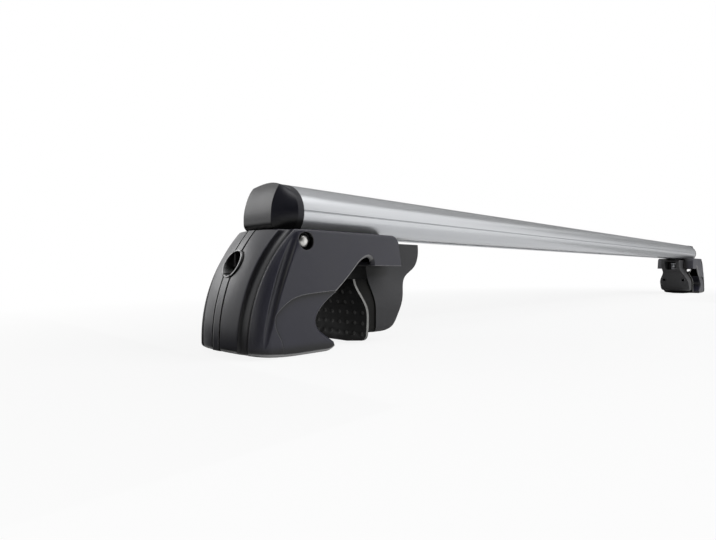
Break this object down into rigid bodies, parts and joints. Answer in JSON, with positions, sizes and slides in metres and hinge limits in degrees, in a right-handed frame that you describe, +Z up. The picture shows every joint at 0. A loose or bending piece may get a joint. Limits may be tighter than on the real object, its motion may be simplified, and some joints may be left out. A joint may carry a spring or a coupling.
{
  "type": "roof rack crossbar",
  "caption": "Roof rack crossbar: domed aluminium bar with capped ends on clamp feet whose padded jaws are drawn to hooks by a bolt behind a lockable key opening.",
  "frame": {"origin": "on the floor under the middle of the bar", "axes": "+X along the bar, +Y towards the side with the locks, +Z up"},
  "size_m": [1.259, 0.068, 0.11],
  "materials": {
    "bar_aluminium": "satin anodised",
    "black_plastic": "fine moulded texture",
    "pad_rubber": "matte, dimpled",
    "bright_steel": "bright nickel",
    "zinc_steel": "zinc plated",
    "lock_chrome": "polished"
  },
  "bodies": {
    "rack": {"bar": "bar_aluminium", "left_end_cap": "black_plastic", "left_core": "black_plastic", "left_front_shell": "black_plastic", "left_rear_shell": "black_plastic", "left_shell_bolt": "bright_steel", "left_shell_nut": "bright_steel", "left_bar_bolts": "zinc_steel", "left_bar_nut_plate": "zinc_steel", "left_tension_washer": "zinc_steel", "left_lock_housing": "black_plastic", "right_end_cap": "black_plastic", "right_core": "black_plastic", "right_front_shell": "black_plastic", "right_rear_shell": "black_plastic", "right_shell_bolt": "bright_steel", "right_shell_nut": "bright_steel", "right_bar_bolts": "zinc_steel", "right_bar_nut_plate": "zinc_steel", "right_tension_washer": "zinc_steel", "right_lock_housing": "black_plastic"},
    "left_jaw": {"left_inner_jaw": "black_plastic", "left_grip_pad": "pad_rubber", "left_pad_screws": "zinc_steel", "left_tension_nut": "zinc_steel"},
    "left_tension": {"left_tension_bolt": "zinc_steel"},
    "left_lock": {"left_lock_cylinder": "lock_chrome", "left_lock_cam": "zinc_steel", "left_cam_screw": "zinc_steel"},
    "right_jaw": {"right_inner_jaw": "black_plastic", "right_grip_pad": "pad_rubber", "right_pad_screws": "zinc_steel", "right_tension_nut": "zinc_steel"},
    "right_tension": {"right_tension_bolt": "zinc_steel"},
    "right_lock": {"right_lock_cylinder": "lock_chrome", "right_lock_cam": "zinc_steel", "right_cam_screw": "zinc_steel"}
  },
  "joints": [
    {"name": "left_bolt_turn", "type": "hinge", "parent": "rack", "child": "left_tension", "pos_m": [-0.6, 0, 0.061], "axis": [1, 0, 0], "range_deg": [0, 6930]},
    {"name": "left_jaw_slide", "type": "slide", "parent": "rack", "child": "left_jaw", "axis": [-1, 0, 0], "range_m": [0, 0.024]},
    {"name": "left_lock_turn", "type": "hinge", "parent": "rack", "child": "left_lock", "pos_m": [-0.5922, 0.02, 0.0498], "axis": [0, -1, 0], "range_deg": [0, 90]},
    {"name": "right_bolt_turn", "type": "hinge", "parent": "rack", "child": "right_tension", "pos_m": [0.6, 0, 0.061], "axis": [-1, 0, 0], "range_deg": [0, 6930]},
    {"name": "right_jaw_slide", "type": "slide", "parent": "rack", "child": "right_jaw", "axis": [1, 0, 0], "range_m": [0, 0.024]},
    {"name": "right_lock_turn", "type": "hinge", "parent": "rack", "child": "right_lock", "pos_m": [0.5922, 0.02, 0.0498], "axis": [0, 1, 0], "range_deg": [0, 90]}
  ],
  "couplings": [
    {"joint": "left_bolt_turn", "follows": "left_jaw_slide", "rad_per_m": 5026.5},
    {"joint": "right_bolt_turn", "follows": "right_jaw_slide", "rad_per_m": 5026.5}
  ]
}
